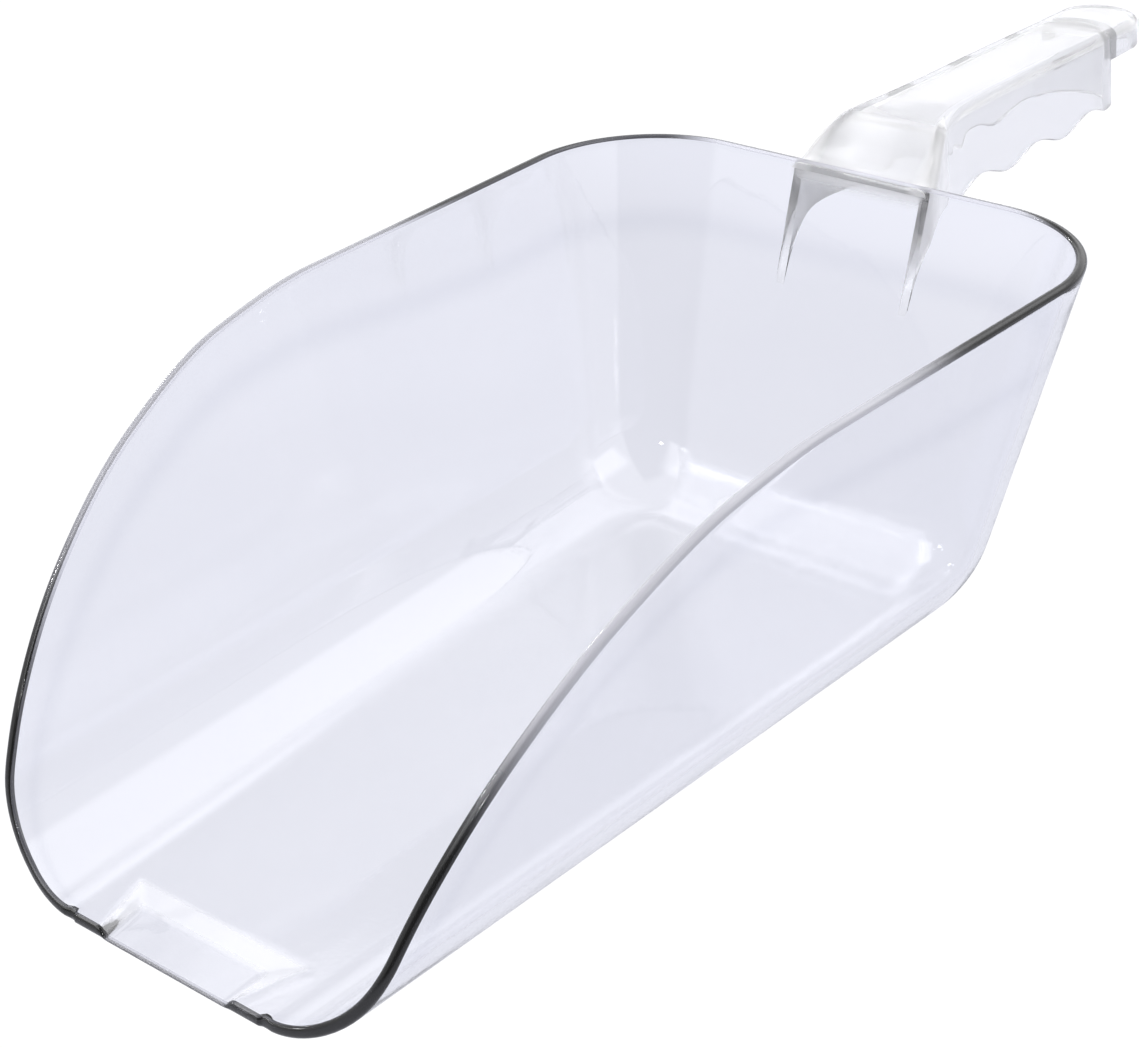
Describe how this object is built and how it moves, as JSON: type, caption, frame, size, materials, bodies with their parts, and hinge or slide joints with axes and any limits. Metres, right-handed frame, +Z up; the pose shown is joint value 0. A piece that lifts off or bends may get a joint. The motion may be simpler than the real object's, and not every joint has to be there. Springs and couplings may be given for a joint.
{
  "type": "ice scoop",
  "caption": "Clear moulded scoop with a deep open bowl, a thin front lip and a hollow channel handle, for lifting ice.",
  "frame": {"origin": "on the table, under the middle of the scoop's overall box", "axes": "+Z up, the mouth and its lip face -Y, the handle points to +Y, X across"},
  "size_m": [0.1462, 0.3576, 0.0972],
  "materials": {
    "clear_plastic": "clear gloss, faint cool tint"
  },
  "bodies": {
    "root": {"bowl_shell": "clear_plastic", "pouring_lip": "clear_plastic", "neck_plate": "clear_plastic", "grip_top": "clear_plastic", "grip_side_right": "clear_plastic", "grip_side_left": "clear_plastic", "channel_end_wall": "clear_plastic", "end_tab": "clear_plastic"}
  },
  "joints": []
}
